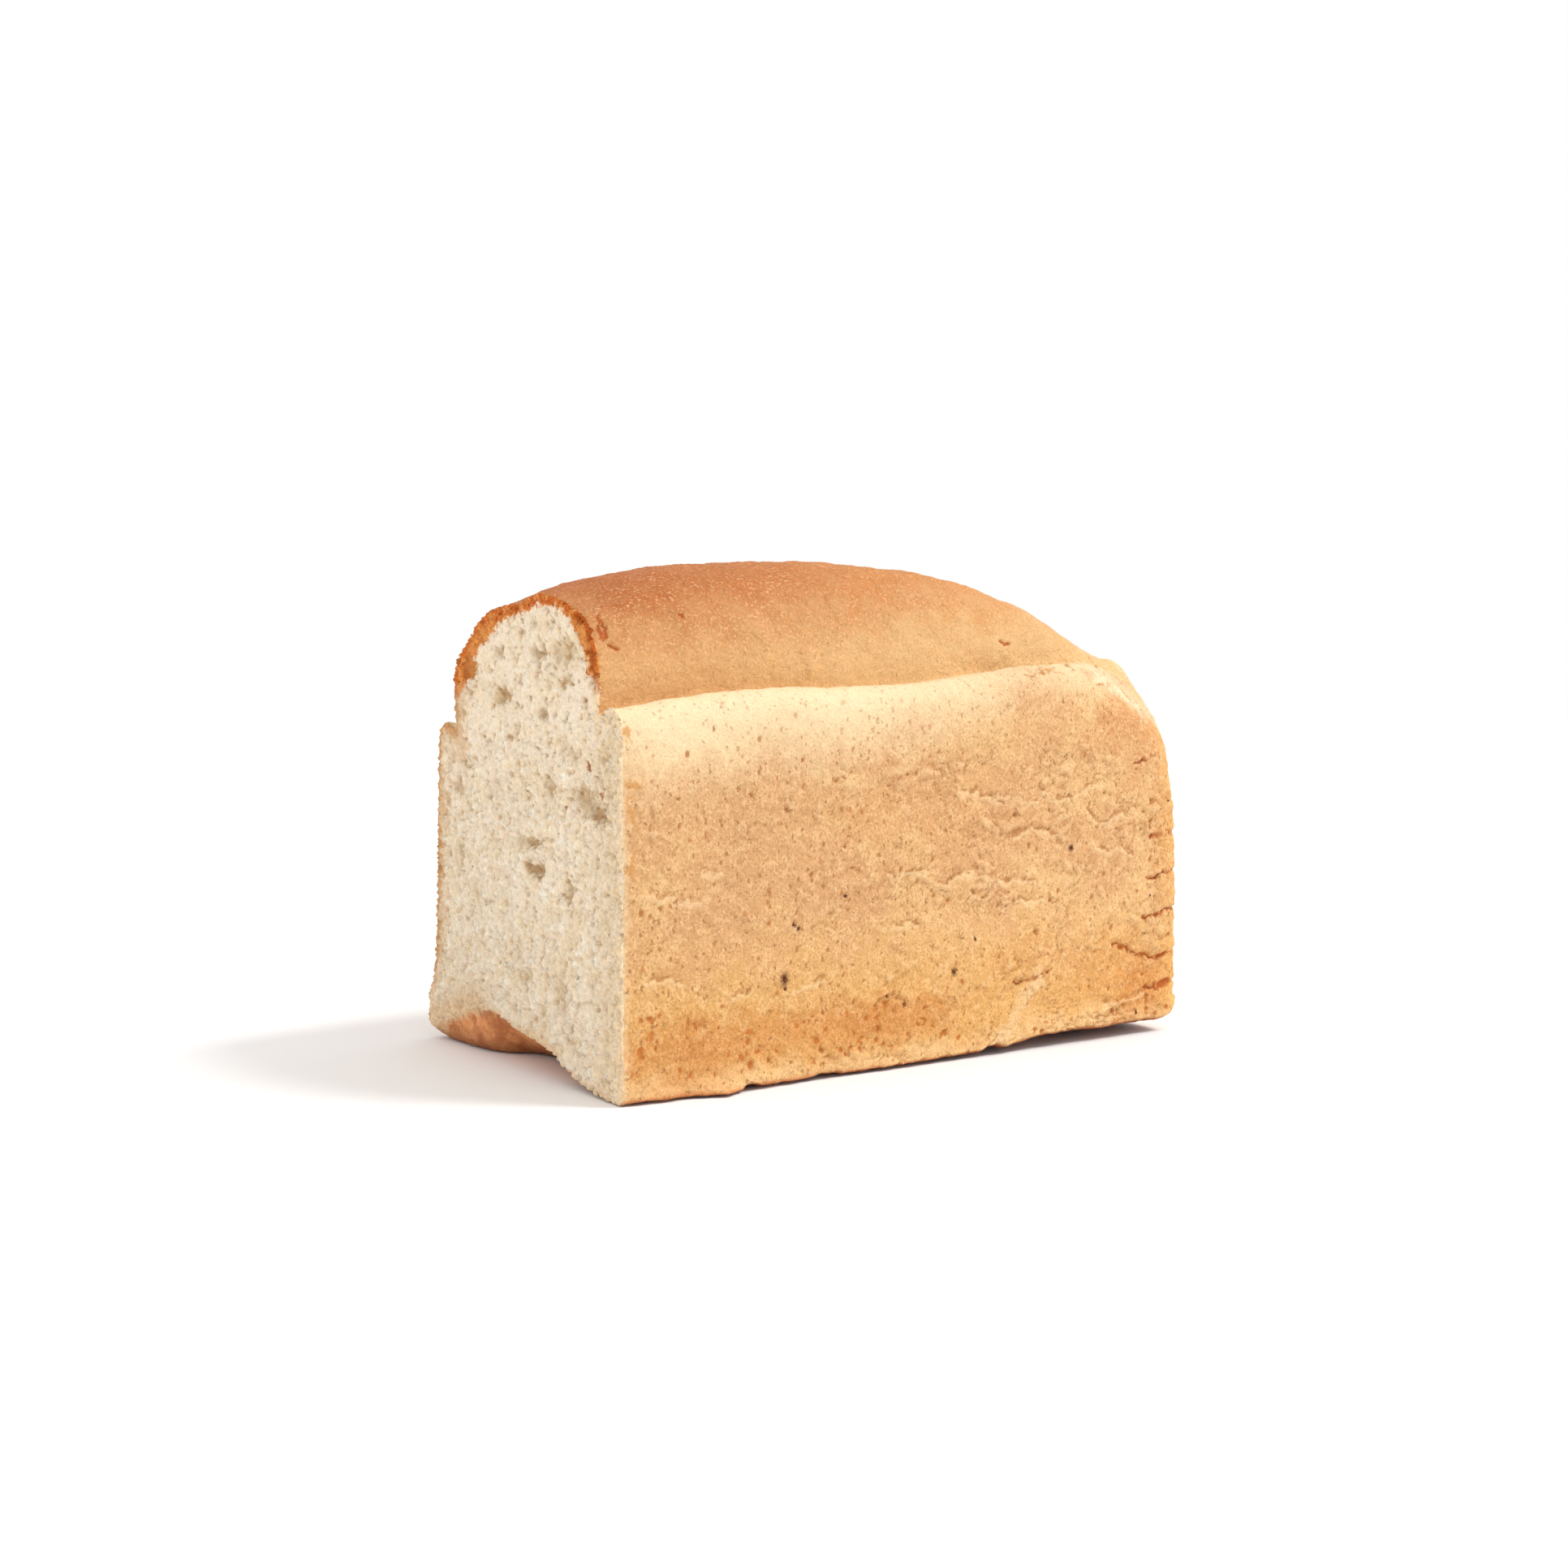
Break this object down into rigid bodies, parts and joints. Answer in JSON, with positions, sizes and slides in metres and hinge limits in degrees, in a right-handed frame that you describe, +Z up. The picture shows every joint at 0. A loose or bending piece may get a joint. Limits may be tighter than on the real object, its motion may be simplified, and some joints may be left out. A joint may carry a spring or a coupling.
{
  "type": "tin loaf",
  "caption": "White tin loaf with one end sliced off, showing pale open crumb under an oval browned dome and flat golden side crusts.",
  "frame": {"origin": "centre of the bounding box's base, on the surface that the loaf stands on", "axes": "+X from the cut end towards the end that baked against the tin, along the loaf; +Z up; -Y towards the near long side"},
  "size_m": [0.1876, 0.1134, 0.1345],
  "materials": {
    "crust": "golden tan side crust, dry and matte, finely pored and wrinkled, pale cream at the shoulder",
    "dome": "orange-brown baked top crust, satin, with a fine pale speckle",
    "crumb": "off-white soft crumb with open pores, matte",
    "base": "reddish-brown mottled base crust, dry and matte"
  },
  "bodies": {
    "root": {"loaf": "crust"}
  },
  "joints": []
}
